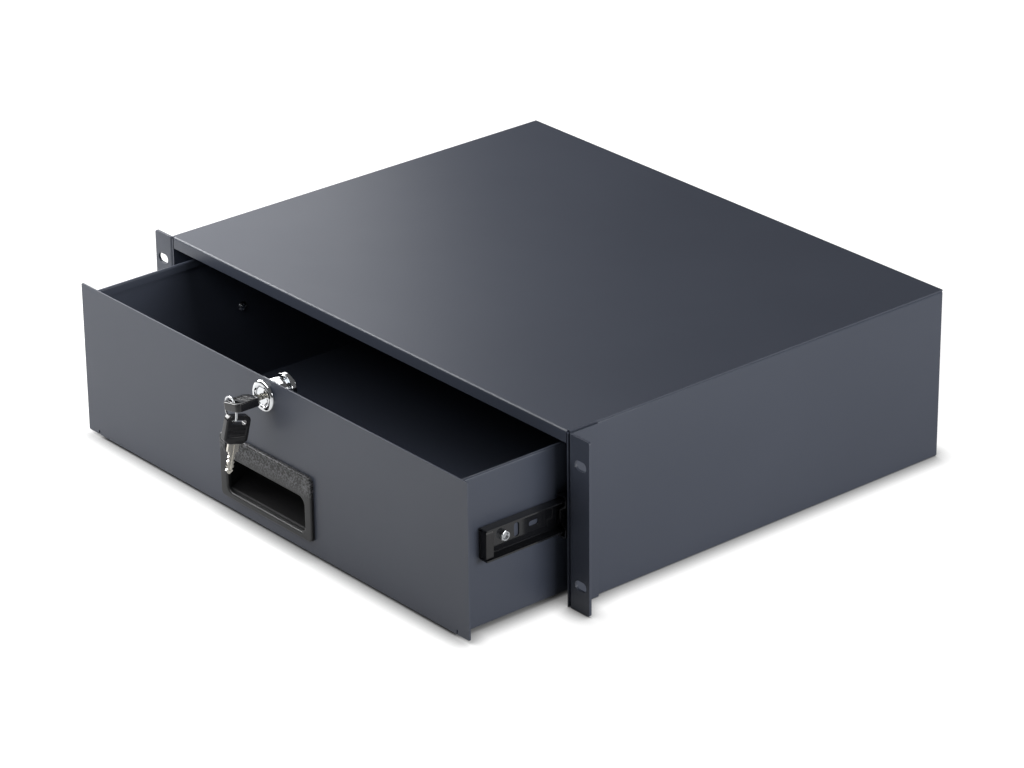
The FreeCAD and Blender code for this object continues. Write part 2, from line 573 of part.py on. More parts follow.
tray_rear = new_body("tray_rear_wall")
plate = new_sketch(tray_rear, "TrayRearPlate", "XZ", "tray_back - drawer_sheet")
box_outline(plate, "-tray_inside", "floor_bottom + drawer_sheet", "tray_inside",
            "tray_top - hem_drop - 0.5", "2 * drawer_sheet")
raise_solid(tray_rear, plate, "TrayRearSheet", "drawer_sheet")
fold = new_sketch(tray_rear, "TrayRearFolds", "YZ", "-(tray_inside - 4)")
outline(fold, [("tray_back", "floor_bottom + drawer_sheet", "drawer_outer_bend"),
               ("tray_back", "tray_top - hem_drop - 0.5", "drawer_outer_bend"),
               ("tray_back - 10", "tray_top - hem_drop - 0.5"),
               ("tray_back - 10", "tray_top - hem_drop - 0.5 - drawer_sheet"),
               ("tray_back - drawer_sheet", "tray_top - hem_drop - 0.5 - drawer_sheet", "drawer_bend"),
               ("tray_back - drawer_sheet", "floor_bottom + 2 * drawer_sheet", "drawer_bend"),
               ("tray_back - 12", "floor_bottom + 2 * drawer_sheet"),
               ("tray_back - 12", "floor_bottom + drawer_sheet")])
raise_solid(tray_rear, fold, "TrayRearFlanges", "2 * (tray_inside - 4)")
place(tray_rear, OUT)

# ---- finger pull: framed plate, sloped hood, scooped pocket behind the panel, snap lugs ----
pull = new_body("finger_pull")
frame = new_sketch(pull, "PullFrame", "XZ", "-pull_proud")
box_outline(frame, "-pull_width / 2", "pull_bottom", "pull_width / 2", "pull_top", "pull_corner")
raise_solid(pull, frame, "PullFramePad", "pull_proud")
round_edges(pull, "PullFrameEdges", "1.2",
            lambda edge: abs(edge.BoundBox.YMax + value("pull_proud")) < 0.01)
body_box = new_sketch(pull, "PullBody", "XZ", "-0.5")
box_outline(body_box, "-pull_body_width / 2", "pull_body_bottom", "pull_body_width / 2",
            "pull_body_top", "5")
raise_solid(pull, body_box, "PullBodyPad", "pull_depth + 0.5")
lugs = new_sketch(pull, "PullLugs", "XZ", "drawer_sheet")
for sign in ("", "-1 * "):
    box_outline(lugs, sign + "(pull_body_width / 2 - 0.5)", "28", sign + "(pull_body_width / 2 + 2)", "42")
raise_solid(pull, lugs, "PullLugPad", "4")
scoop = new_sketch(pull, "PullScoop", "YZ", "-opening_width / 2")
outline(scoop, [("-0.6", "opening_bottom + 1.5"), ("9", "opening_bottom + 6", "6"),
                ("pull_depth - pull_wall", "opening_bottom + 13", "6"),
                ("pull_depth - pull_wall", "pull_body_top - pull_wall", "5"),
                ("1.6", "pull_body_top - pull_wall", "3"), ("-0.6", "opening_top")])
cut_solid(pull, scoop, "PullScoopCut", "opening_width")
mouth = new_sketch(pull, "PullMouth", "XZ", "-pull_proud - 1")
outline(mouth, [("-opening_width / 2", "opening_bottom", "5.5"), ("opening_width / 2", "opening_bottom", "5.5"),
                ("opening_width / 2", "opening_top", "6"), ("-opening_width / 2", "opening_top", "6")])
cut_solid(pull, mouth, "PullMouthCut", "pull_proud + 1.2")
round_edges(pull, "PullMouthEdges", "mouth_round",
            lambda edge: abs(edge.BoundBox.YMax + value("pull_proud")) < 0.01
            and edge.BoundBox.ZMin > value("opening_bottom") - 0.1
            and edge.BoundBox.ZMax < value("opening_top") + 0.1
            and edge.BoundBox.XLength < value("opening_width") + 0.1)
hood = new_sketch(pull, "PullHood", "YZ", "-opening_width / 2 - 1")
outline(hood, [("-pull_proud - 1", "pull_top - hood_rim"), ("-0.7", "pull_top - hood_rim"),
               ("-pull_proud", "opening_top + 2.4"), ("-pull_proud - 1", "opening_top + 2.4")])
cut_solid(pull, hood, "PullHoodCut", "opening_width + 2")
place(pull, OUT)

# ---- cam lock: housing, hex nut, plug, stop washer, cranked cam, cam screw ----
LOCK_Z = "lock_level - pattern_level"
housing = new_body("lock_housing")
section = new_sketch(housing, "HousingSection", "XY", "0")
bore = "plug_diameter / 2 + plug_clearance"
outline(section, [(bore, "-lock_proud + 0.5"), (bore + " + 1.2", "-lock_proud + 0.5"),
                  (bore + " + 1.2", "-lock_proud"), ("lock_flange / 2 - 1.8", "-lock_proud"),
                  ("lock_flange / 2", "-lock_proud + 0.9"), ("lock_flange / 2", "0"),
                  ("lock_barrel / 2", "0"), ("lock_barrel / 2", "lock_length"), (bore, "lock_length")])
turn_solid(housing, section, "HousingTurned")
place(housing, OUT, LOCK_Z)

nut = new_body("lock_nut")
hexagon = new_sketch(nut, "LockNutShape", "XZ", "drawer_sheet")
across = [("%s * lock_nut_flats / 2 / cos(30)" % round(math.cos(math.radians(60 * i)), 9),
           "%s * lock_nut_flats / 2 / cos(30)" % round(math.sin(math.radians(60 * i)), 9)) for i in range(6)]
outline(hexagon, across)
round_hole(hexagon, "0", "0", "lock_barrel + 0.2")
raise_solid(nut, hexagon, "LockNutPad", "lock_nut_height")
place(nut, OUT, LOCK_Z)

plug = new_body("lock_plug")
section = new_sketch(plug, "PlugSection", "XY", "0")
outline(section, [("0", "plug_recess - lock_proud"), ("plug_diameter / 2 - 0.6", "plug_recess - lock_proud"),
                  ("plug_diameter / 2", "plug_recess - lock_proud + 0.6"), ("plug_diameter / 2", "washer_at"),
                  ("0", "washer_at")])
turn_solid(plug, section, "PlugTurned")
stud = new_sketch(plug, "PlugStud", "XZ", "washer_at - 0.5")
box_outline(stud, "-stud_square / 2", "-stud_square / 2", "stud_square / 2", "stud_square / 2")
raise_solid(plug, stud, "PlugStudPad", "washer_thick + cam_thick + 0.4")
keyway = new_sketch(plug, "Keyway", "XZ", "-lock_proud - 1")
box_outline(keyway, "-blade_width / 2 - key_clearance", "-blade_thick / 2 - key_clearance",
            "blade_width / 2 + key_clearance", "blade_thick / 2 + key_clearance")
cut_solid(plug, keyway, "KeywayCut", "blade_tip + lock_proud + 1.3")
tapping = new_sketch(plug, "CamScrewHole", "XZ", "blade_tip + 1.6")
round_hole(tapping, "0", "0", "cam_screw_thread + 2 * cam_screw_clearance")
cut_solid(plug, tapping, "CamScrewHoleCut", "cam_at + cam_thick - blade_tip")
place(plug, OUT, LOCK_Z)
plug.Placement.Rotation = FreeCAD.Rotation(Vector(0, -1, 0), value("key_tilt"))
bind(plug, "Placement.Rotation.Angle", "key_tilt")

washer = new_body("stop_washer")
ring = new_sketch(washer, "StopWasherShape", "XZ", "washer_at")
round_hole(ring, "0", "0", "washer_diameter")
box_outline(ring, "-stud_square / 2 - 0.1", "-stud_square / 2 - 0.1", "stud_square / 2 + 0.1", "stud_square / 2 + 0.1")
raise_solid(washer, ring, "StopWasherPad", "washer_thick")
place(washer, OUT, LOCK_Z)
washer.Placement.Rotation = FreeCAD.Rotation(Vector(0, -1, 0), value("key_tilt"))
bind(washer, "Placement.Rotation.Angle", "key_tilt")

cam = new_body("lock_cam")
hub = new_sketch(cam, "CamHub", "XZ", "cam_at")
box_outline(hub, "-7.5", "-cam_crank - cam_thick", "7.5", "7.5", "3")
raise_solid(cam, hub, "CamHubPad", "cam_thick")
crank = new_sketch(cam, "CamCrank", "XZ", "cam_forward")
box_outline(crank, "-cam_width / 2", "-cam_crank - cam_thick", "cam_width / 2", "-cam_crank")
raise_solid(cam, crank, "CamCrankPad", "cam_at + cam_thick - cam_forward")
tip = new_sketch(cam, "CamTip", "XZ", "cam_forward")
box_outline(tip, "-cam_width / 2", "-cam_reach", "cam_width / 2", "-cam_crank", "1.5")
raise_solid(cam, tip, "CamTipPad", "cam_thick")
square = new_sketch(cam, "CamSquare", "XZ", "cam_at - 1")
corner = "(stud_square / 2 + 0.1)"
tilted = []
for i in range(4):
    angle = "(%d + key_tilt)" % (45 + 90 * i)
    tilted.append(("%s * sqrt(2) * cos(%s)" % (corner, angle), "%s * sqrt(2) * sin(%s)" % (corner, angle)))
outline(square, tilted)
cut_solid(cam, square, "CamSquareCut", "cam_thick + 2")
place(cam, OUT, LOCK_Z)

screw = new_body("cam_screw")
section = new_sketch(screw, "CamScrewSection", "XY", "0")
outline(section, [("0", "blade_tip + 2.2"), ("cam_screw_thread / 2", "blade_tip + 2.2"),
                  ("cam_screw_thread / 2", "cam_at + cam_thick"),
                  ("5.2", "cam_at + cam_thick"), ("5.2", "cam_at + cam_thick + 1.6"),
                  ("4.2", "cam_at + cam_thick + 2.6"), ("0", "cam_at + cam_thick + 2.6")])
turn_solid(screw, section, "CamScrewTurned")
cross = new_sketch(screw, "CamScrewRecess", "XZ", "cam_at + cam_thick + 1.2")
outline(cross, [("-2.4", "-0.5"), ("-0.5", "-0.5"), ("-0.5", "-2.4"), ("0.5", "-2.4"), ("0.5", "-0.5"),
                ("2.4", "-0.5"), ("2.4", "0.5"), ("0.5", "0.5"), ("0.5", "2.4"), ("-0.5", "2.4"),
                ("-0.5", "0.5"), ("-2.4", "0.5")])
cut_solid(screw, cross, "CamScrewRecessCut", "3")
place(screw, OUT, LOCK_Z)


# ---- keys: a blade moulded into a ribbed bow; the second one hangs from the split ring ----
def key(prefix):
    """Bow and blade bodies of one key, along Y with the bow towards the front."""
    bow = new_body(prefix + "_bow")
    shape = new_sketch(bow, prefix + "_bow_shape", "XY", "-bow_thick / 2")
    outline(shape, [("-bow_width / 2", "bow_front", "bow_corner"), ("bow_width / 2", "bow_front", "bow_corner"),
                    ("bow_width / 2", "bow_back - 2.6", "2.5"), ("shoulder_width / 2 + 1", "bow_back", "1"),
                    ("-shoulder_width / 2 - 1", "bow_back", "1"), ("-bow_width / 2", "bow_back - 2.6", "2.5")])
    raise_solid(bow, shape, prefix + "_bow_pad", "bow_thick")
    round_edges(bow, prefix + "_bow_edges", "0.8",
                lambda edge: edge.BoundBox.ZLength < 0.01)
    slot = new_sketch(bow, prefix + "_bow_slot", "XY", "-bow_thick / 2 - 1")
    box_outline(slot, "-bow_slot_length / 2", "slot_front", "bow_slot_length / 2",
                "slot_front + bow_slot_width", "1.2")
    cut_solid(bow, slot, prefix + "_bow_slot_cut", "bow_thick + 2")
    tang = new_sketch(bow, prefix + "_bow_tang", "XY", "-blade_thick / 2")
    box_outline(tang, "-shoulder_width / 2", "bow_back - tang_length",
                "shoulder_width / 2", "bow_back + 1")
    cut_solid(bow, tang, prefix + "_bow_tang_cut", "blade_thick")
    for face, start in (("upper", "bow_thick / 2 - 0.5"), ("lower", "-bow_thick / 2 - 1")):
        grooves = new_sketch(bow, "%s_bow_%s" % (prefix, face), "XY", start)
        for i in range(3):
            front = "slot_front + bow_slot_width + 2 + %g" % (2.8 * i)
            box_outline(grooves, "-bow_width / 2 + 2.6", front, "bow_width / 2 - 2.6", front + " + 1.9")
        cut_solid(bow, grooves, "%s_bow_%s_cut" % (prefix, face), "1.5")
    blade = new_body(prefix + "_blade")
    shape = new_sketch(blade, prefix + "_blade_shape", "XY", "-blade_thick / 2")
    half = "blade_width / 2"
    right = [("shoulder_width / 2", "bow_back - tang_length"), ("shoulder_width / 2", "blade_root"),
             (half, "blade_root")]
    for place_on, depth in ((1.6, 0.7), (4.8, 1.1), (8.0, 0.6), (11.2, 1.0)):
        right += [(half, "blade_root + %g" % place_on), ("%s - %g" % (half, depth), "blade_root + %g" % (place_on + 0.9)),
                  ("%s - %g" % (half, depth), "blade_root + %g" % (place_on + 1.6)),
                  (half, "blade_root + %g" % (place_on + 2.5))]
    right += [(half, "blade_tip - 2.2"), ("0.6", "blade_tip")]
    left = [("-(%s)" % c[0], c[1]) for c in reversed(right)]
    outline(shape, right + left)
    raise_solid(blade, shape, prefix + "_blade_pad", "blade_thick")
    for face, start in (("upper", "blade_thick / 2 - groove_depth"), ("lower", "-blade_thick / 2 - 1")):
        groove = new_sketch(blade, "%s_groove_%s" % (prefix, face), "XY", start)
        box_outline(groove, "-0.55", "bow_back + 1", "0.55", "blade_tip - 2.5")
        cut_solid(blade, groove, "%s_groove_%s_cut" % (prefix, face), "1 + groove_depth")
    return bow, blade


for piece in key("key"):
    place(piece, OUT, LOCK_Z)
    piece.Placement.Rotation = FreeCAD.Rotation(Vector(0, -1, 0), value("key_tilt"))
    bind(piece, "Placement.Rotation.Angle", "key_tilt")

# The ring wraps the left wall of the bow's slot and stands in a plane turned from the panel's.
tilt = math.radians(value("key_tilt"))
turned = math.radians(value("ring_angle"))
wall_out = value("(bow_slot_length / 2 + bow_width / 2) / 2")
lock_height = value(LOCK_Z)
pivot = Vector(-wall_out * math.cos(tilt), value("slot_front + bow_slot_width / 2 - rest_open + ring_setback"),
               lock_height - wall_out * math.sin(tilt))
ring_along = Vector(math.cos(turned), -math.sin(turned), 0)
ring_axis = Vector(math.sin(turned), math.cos(turned), 0)
ring_centre = pivot - Vector(0, 0, value("ring_radius - ring_lift - ring_wire / 2"))
key_ring = doc.addObject("Part::Torus", "split_ring")
key_ring.Label = "split_ring"
bind(key_ring, "Radius1", "ring_radius")
bind(key_ring, "Radius2", "ring_wire / 2")
key_ring.Placement = FreeCAD.Placement(ring_centre, FreeCAD.Rotation(Vector(0, 0, 1), ring_axis))
nodes.append(key_ring)

# The spare key hangs by the end of its slot, so it leans until its weight is under the ring.
lean = math.radians(value("spare_lean"))
down = Vector(0, 0, -1) * math.cos(lean) - ring_axis * math.sin(lean)
across = down.cross(ring_along)
turning = FreeCAD.Matrix(across.x, down.x, ring_along.x, 0, across.y, down.y, ring_along.y, 0,
                         across.z, down.z, ring_along.z, 0, 0, 0, 0, 1)
spare_turn = FreeCAD.Placement(turning).Rotation
toward_panel = 1 if across.dot(ring_axis) < 0 else -1
hang_at = Vector(toward_panel * value("bow_slot_length / 2 - ring_wire / 2 - 0.5"),
                 value("slot_front + ring_wire / 2 + spare_play"), 0)
ring_bottom = ring_centre - Vector(0, 0, value("ring_radius"))
for piece in key("spare_key"):
    piece.Placement = FreeCAD.Placement(ring_bottom - spare_turn.multVec(hang_at), spare_turn)
    nodes.append(piece)

# ---- fasteners, each set one node ----
AXIS = Vector(1, 0, 0)


def prism_nut(flats, height, bore_diameter):
    """Hex nut along X standing on X = 0."""
    corner_radius = flats / 2 / math.cos(math.pi / 6)
    points = [Vector(0, corner_radius * math.cos(i * math.pi / 3), corner_radius * math.sin(i * math.pi / 3))
              for i in range(7)]
    blank = Part.Face(Part.makePolygon(points)).extrude(Vector(height, 0, 0))
    return blank.cut(Part.makeCylinder(bore_diameter / 2, height, Vector(0, 0, 0), AXIS))


def both_sides(solid, spots):
    """Copies of a right-hand solid at each spot and its mirror image."""
    solids = []
    for spot in spots:
        moved = solid.copy()
        moved.translate(spot)
        solids += [moved, moved.mirror(Vector(0, 0, 0), AXIS)]
    return solids


slide_z = value("slide_level") - LEVEL
thread = value("screw_diameter")
stud_spots = [Vector(0, value("stud_first") + i * value("stud_pitch"), slide_z) for i in range(3)]
stud_length = value("slide_sheet + stud_nut_height + 0.6")
stud_solid = Part.makeCylinder(thread / 2, stud_length, Vector(value("case_inside") - stud_length, 0, 0), AXIS)
group("case_studs", both_sides(stud_solid, stud_spots))
nut_solid = prism_nut(value("nut_flats"), value("stud_nut_height"), thread + 0.1)
nut_solid.translate(Vector(value("case_web - stud_nut_height"), 0, 0))
group("case_stud_nuts", both_sides(nut_solid, stud_spots))

screw_spots = [Vector(0, value("screw_first - rest_open") + i * value("screw_pitch"), slide_z) for i in range(3)]
inside = value("tray_inside")
head_height = value("screw_head_height")
shank_length = value("drawer_sheet + slide_sheet + drawer_nut_height - screw_short")
head = Part.makeCylinder(value("screw_head") / 2, head_height, Vector(inside - head_height, 0, 0), AXIS)
rim = [edge for edge in head.Edges if edge.BoundBox.XMax < inside - head_height + 0.01 and len(edge.Vertexes) == 1]
head = head.makeFillet(1.2, rim)
screw_solid = head.fuse(Part.makeCylinder(thread / 2, shank_length, Vector(inside, 0, 0), AXIS))
for size in ((4.2, 0.9), (0.9, 4.2)):
    recess = Part.makeBox(1.3, size[0], size[1], Vector(inside - head_height - 0.1, -size[0] / 2, -size[1] / 2))
    screw_solid = screw_solid.cut(recess)
group("drawer_screws", both_sides(screw_solid.removeSplitter(), screw_spots))
nut_solid = prism_nut(value("nut_flats"), value("drawer_nut_height"), thread + 0.1)
nut_solid.translate(Vector(value("drawer_web"), 0, 0))
group("drawer_nuts", both_sides(nut_solid, screw_spots))

# ---- check every object, then write one STEP file for each named piece ----
doc.recompute()
for item in doc.Objects:
    if "Invalid" in item.State or "Error" in item.State:
        raise RuntimeError("%s: %s" % (item.Name, item.State))
os.makedirs("parts", exist_ok=True)
for node in nodes:
    if node.Shape.isNull() or not node.Shape.isValid() or node.Shape.Volume <= 0:
        raise RuntimeError("%s has no valid solid" % node.Label)
    node.Shape.exportStep("parts/%s.step" % node.Label)
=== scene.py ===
import json
import math

import bmesh
import bpy
from mathutils import Matrix, Vector


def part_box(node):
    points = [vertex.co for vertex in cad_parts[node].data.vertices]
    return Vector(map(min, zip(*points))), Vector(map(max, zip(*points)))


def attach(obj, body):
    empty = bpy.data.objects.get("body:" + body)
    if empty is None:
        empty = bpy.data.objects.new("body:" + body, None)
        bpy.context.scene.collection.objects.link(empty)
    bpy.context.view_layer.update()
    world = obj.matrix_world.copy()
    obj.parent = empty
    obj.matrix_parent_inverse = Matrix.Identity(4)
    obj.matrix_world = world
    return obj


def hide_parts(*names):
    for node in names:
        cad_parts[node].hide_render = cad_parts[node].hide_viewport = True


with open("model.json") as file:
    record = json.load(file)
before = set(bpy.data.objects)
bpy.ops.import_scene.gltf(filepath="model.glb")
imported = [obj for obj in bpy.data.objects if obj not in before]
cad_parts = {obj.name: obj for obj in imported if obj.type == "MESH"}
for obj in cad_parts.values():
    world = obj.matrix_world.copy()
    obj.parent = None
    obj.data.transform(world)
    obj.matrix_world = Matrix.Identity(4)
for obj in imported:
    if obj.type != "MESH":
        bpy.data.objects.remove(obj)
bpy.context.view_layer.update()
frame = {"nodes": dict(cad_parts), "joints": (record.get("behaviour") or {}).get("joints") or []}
nodes = frame["nodes"]
MM = 0.001

# ---- Case: folded body, cover with its front lip, rear panel ----
# Mild steel sheet, laser cut and folded on a press brake, closed by a full-width cover whose
# front lip is folded down. It is sprayed with a dark grey polyester powder that bakes to a
# satin skin with a fine orange peel; the cut edges are slightly eased by the coating.


def linear(code):
    """Linear colour, with alpha, from an sRGB hex value."""
    parts = [int(code[i:i + 2], 16) / 255 for i in (1, 3, 5)]
    return [c / 12.92 if c <= 0.04045 else ((c + 0.055) / 1.055) ** 2.4 for c in parts] + [1.0]


def add_node(tree, kind, sockets=(), **settings):
    """Add a node; settings are its properties, sockets its inputs, by name or listed in order.

    An input is given a value, a node or socket to link, or a tuple of several to link.
    """
    node = tree.nodes.new(kind)
    for name, setting in settings.items():
        setattr(node, name, setting)
    if not isinstance(sockets, dict):
        sockets = {target.identifier: source for target, source in zip(node.inputs, sockets)}
    for name, source in sockets.items():
        target = next(s for s in node.inputs if s.enabled and name in (s.name, s.identifier))
        for part in source if isinstance(source, tuple) else (source,):
            if isinstance(part, bpy.types.Node):
                part = next(s for s in part.outputs if s.enabled)
            if isinstance(part, bpy.types.NodeSocket):
                tree.links.new(part, target)
            else:
                target.default_value = part
    return node


def new_material(name):
    """An empty material, its node tree, and the object-space position that its patterns read."""
    material = bpy.data.materials.new(name)
    material.use_nodes = True
    tree = material.node_tree
    tree.nodes.clear()
    return material, tree, add_node(tree, "ShaderNodeTexCoord").outputs["Object"]


def noise_scale(grain_mm):
    """Scale of a noise texture with grains grain_mm wide, two of them to a cell of the noise."""
    return 0.5 / (grain_mm * MM)


# Depth of a random relief, as a share of the width of its grains.
RELIEF_DEPTH = 0.05
# Nearly all values of a noise texture lie between these two.
NOISE_LOW, NOISE_HIGH = 0.3, 0.7


def grain(tree, place, size_mm, strength):
    """Normal of a random relief whose grains are size_mm wide."""
    relief = add_node(tree, "ShaderNodeTexNoise",
                      {"Vector": place, "Scale": noise_scale(size_mm), "Detail": 2.0})
    return add_node(tree, "ShaderNodeBump", {"Height": relief, "Strength": strength,
                                             "Distance": RELIEF_DEPTH * size_mm * MM})


def spread(tree, place, size_mm, low, high):
    """A value that drifts between low and high over patches size_mm wide."""
    patches = add_node(tree, "ShaderNodeTexNoise",
                       {"Vector": place, "Scale": noise_scale(size_mm), "Detail": 3.0})
    return add_node(tree, "ShaderNodeMapRange",
                    {"Value": patches, "From Min": NOISE_LOW, "From Max": NOISE_HIGH,
                     "To Min": low, "To Max": high})


def finish_material(material, tree, sockets):
    """Close a material with a surface shader that has these inputs."""
    surface = add_node(tree, "ShaderNodeBsdfPrincipled", sockets)
    add_node(tree, "ShaderNodeOutputMaterial", {"Surface": surface})
    return material


# Widths of the patches in which a coating's colour and gloss drift, and how far the gloss does.
COLOUR_PATCH_MM = 60.0
GLOSS_PATCH_MM = 25.0
GLOSS_DRIFT = 0.01


def coated(name, dark, light, roughness, grain_mm, strength, **skin):
    """Non-metallic skin: two close colours in slow patches, a fine relief, a slight gloss drift."""
    material, tree, place = new_material(name)
    colour = add_node(tree, "ShaderNodeMix",
                      {"Factor": spread(tree, place, COLOUR_PATCH_MM, 0.0, 1.0),
                       "A": linear(dark), "B": linear(light)}, data_type="RGBA")
    sockets = {"Base Color": colour,
               "Roughness": spread(tree, place, GLOSS_PATCH_MM,
                                   roughness - GLOSS_DRIFT, roughness + GLOSS_DRIFT),
               "Normal": grain(tree, place, grain_mm, strength)}
    sockets.update(skin)
    return finish_material(material, tree, sockets)


# Satin polyester powder: an even, cool dark grey with a soft broad highlight at low angles. Its
# orange peel is finer than this relief, which is as coarse as it needs to be to show.
powder = coated("satin_grey_powder_coat", "#393e4a", "#3c414d", 0.4, 0.9, 0.3)


def linked(name, mesh):
    """A new object in the scene, at the origin, with this mesh."""
    piece = bpy.data.objects.new(name, mesh)
    bpy.context.scene.collection.objects.link(piece)
    return piece


def bevelled(piece, width_mm, segments, angle):
    """Ease the edges of a piece that turn more than an angle."""
    bevel = piece.modifiers.new("eased edges", "BEVEL")
    bevel.width = width_mm * MM
    bevel.segments = segments
    bevel.limit_method = "ANGLE"
    bevel.angle_limit = angle
    return bevel


# Corners closer than this are one corner; faces that turn less than this are one face; edges
# that turn less than this belong to a smooth bend.
SAME_CORNER = 0.002 * MM
SAME_FACE = math.radians(0.5)
SMOOTH_BEND = math.radians(35)


def eased(name, node, body, material, edge_mm):
    """A CAD solid's shape as a piece with merged faces, eased edges and smooth bends."""
    mesh = nodes[node].data.copy()
    work = bmesh.new()
    work.from_mesh(mesh)
    bmesh.ops.remove_doubles(work, verts=work.verts, dist=SAME_CORNER)
    bmesh.ops.dissolve_limit(work, angle_limit=SAME_FACE, verts=work.verts, edges=work.edges)
    work.to_mesh(mesh)
    work.free()
    mesh.materials.clear()
    mesh.materials.append(material)
    piece = linked(name, mesh)
    bevel = bevelled(piece, edge_mm, 2, SMOOTH_BEND)
    for polygon in mesh.polygons:
        polygon.use_smooth = True
    mesh.set_sharp_from_angle(angle=SMOOTH_BEND)
    bevel.harden_normals = True
    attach(piece, body)
    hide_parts(node)


for node in ("case_shell", "top_cover", "rear_panel"):
    eased(node + "_sheet", node, "case", powder, 0.3)

# ---- Rack ears ----
# Two 2 mm steel brackets, bent at a right angle, each with two long holes punched for the rack
# screws. They are spot-welded to the case sides before the whole case is powder coated.
for side in ("right", "left"):
    eased("rack_ear_%s_bracket" % side, "rack_ear_" + side, "case", powder, 0.35)

# ---- Drawer: front panel, tray, tray rear wall ----
# The same sheet and powder coat: a flat panel folded under along its bottom edge, and a tray
# whose side walls end in a folded hem, so that no raw edge meets the hand.
for node in ("front_panel", "drawer_tray", "tray_rear_wall"):
    eased(node + "_sheet", node, "drawer", powder, 0.25)

# ---- Slides: case, middle and drawer members, both sides ----
# Cold-rolled steel strip, roll-formed into three channels that run inside each other, then
# dipped in black electrophoretic paint.

# Electrocoat: thin, smooth and glossier than the powder, so it mirrors the lamps clearly. It is
# an epoxy, whose IOR is a little higher than that of the polyester.
slide_black = coated("black_electrocoated_strip", "#121316", "#16171a", 0.12, 1.6, 0.1, IOR=1.6)
for side in ("right", "left"):
    for member, body in (("case", "case"), ("middle", "middle_" + side), ("drawer", "drawer")):
        eased("%s_member_%s" % (member, side), "slide_%s_member_%s" % (member, side), body,
              slide_black, 0.2)

# ---- Ball retainers and balls ----
# Each row of hardened steel balls runs in a moulded strip of natural acetal that has a hole for
# each ball and keeps them apart.

# Natural acetal: an off-white, slightly translucent plastic that reads as dull ivory.
acetal = coated("natural_acetal_strip", "#c9c5b6", "#d2cec0", 0.45, 1.0, 0.15)

# Patches of duller skin on bare metal: their width and how much rougher they are.
DULL_PATCH_MM = 6.0
DULLER = 0.06


def polished(name, code, roughness, grain_mm, strength):
    """Bare metal of one colour with a faint relief and patches of slightly duller skin."""
    material, tree, place = new_material(name)
    return finish_material(material, tree, {
        "Base Color": linear(code), "Metallic": 1.0,
        "Roughness": spread(tree, place, DULL_PATCH_MM, roughness, roughness + DULLER),
        "Normal": grain(tree, place, grain_mm, strength)})


# Lapped bearing steel: a clear, slightly dark mirror.
ball_steel = polished("hardened_bearing_steel", "#c8cacd", 0.12, 0.6, 0.05)


def new_tree(name, inputs):
    """A geometry tree with these float inputs; returns it and the inputs' sockets."""
    tree = bpy.data.node_groups.new(name, "GeometryNodeTree")
    for label in inputs:
        tree.interface.new_socket(name=label, in_out="INPUT", socket_type="NodeSocketFloat")
    tree.interface.new_socket(name="Geometry", in_out="OUTPUT", socket_type="NodeSocketGeometry")
    return tree, add_node(tree, "NodeGroupInput").outputs


def row_of(tree, given, shape, x, z, turn=0.0):
    """Instances of a shape in a line along Y, at this x and z, each turned about Y."""
    start = add_node(tree, "ShaderNodeCombineXYZ", [x, given["First Y"], z])
    step = add_node(tree, "ShaderNodeCombineXYZ", [0.0, given["Pitch"], 0.0])
    line = add_node(tree, "GeometryNodeMeshLine",
                    {"Count": given["Count"], "Start Location": start, "Offset": step})
    turned_by = add_node(tree, "ShaderNodeCombineXYZ", [0.0, turn, 0.0])
    return add_node(tree, "GeometryNodeInstanceOnPoints",
                    {"Points": line, "Instance": shape, "Rotation": turned_by})


def close_tree(tree, rows, material):
    """Join the rows, realise their instances, give them their material and send them out."""
    joined = add_node(tree, "GeometryNodeJoinGeometry", {"Geometry": tuple(rows)})
    solid = add_node(tree, "GeometryNodeRealizeInstances", {"Geometry": joined})
    dressed = add_node(tree, "GeometryNodeSetMaterial", {"Geometry": solid, "Material": material})
    add_node(tree, "NodeGroupOutput", {"Geometry": dressed})
    return tree


def grown(name, tree, values, body, node):
    """The plain mesh that a geometry tree makes with these input values, in place of a node."""
    piece = linked(name, bpy.data.meshes.new(name))
    modifier = piece.modifiers.new("grow", "NODES")
    modifier.node_group = tree
    for item in tree.interface.items_tree:
        if item.in_out == "INPUT":
            modifier[item.identifier] = values[item.name]
    bpy.context.view_layer.update()
    graph = bpy.context.evaluated_depsgraph_get()
    mesh = bpy.data.meshes.new_from_object(piece.evaluated_get(graph))
    piece.modifiers.remove(modifier)
    piece.data = mesh
    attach(piece, body)
    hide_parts(node)
    return piece


def ball_rows():
    """Two parallel rows of balls, one at each level."""
    tree, given = new_tree("ball_rows", ("Radius", "Count", "X", "First Y", "Pitch", "Low Z",
                                         "High Z"))
    ball = add_node(tree, "GeometryNodeMeshUVSphere",
                    {"Segments": 24, "Rings": 14, "Radius": given["Radius"]})
    smooth = add_node(tree, "GeometryNodeSetShadeSmooth", {"Geometry": ball})
    rows = [row_of(tree, given, smooth, given["X"], given[level]) for level in ("Low Z", "High Z")]
    return close_tree(tree, rows, ball_steel)


ball_tree = ball_rows()
BALLS_PER_ROW = 5
for kind in ("outer", "inner"):
    for side in ("right", "left"):
        body = "%s_cage_%s" % (kind, side)
        eased("%s_retainer_%s" % (kind, side), "slide_%s_cage_%s" % (kind, side), body, acetal, 0.1)
        node = "slide_%s_balls_%s" % (kind, side)
        low, high = (Vector(corner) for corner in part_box(node))
        radius = (high.x - low.x) / 2
        pitch = (high.y - low.y - 2 * radius) / (BALLS_PER_ROW - 1)
        grown(node + "_set", ball_tree,
              {"Radius": radius, "Count": BALLS_PER_ROW, "X": (low.x + high.x) / 2,
               "First Y": low.y + radius, "Pitch": pitch, "Low Z": low.z + radius,
               "High Z": high.z - radius}, body, node)

# ---- Slide end caps and rear bumpers ----
# Small moulded nylon blocks pushed into the drawer members' front ends, and rubber blocks in
# the case members' rear ends that the middle members meet when the drawer is shut.

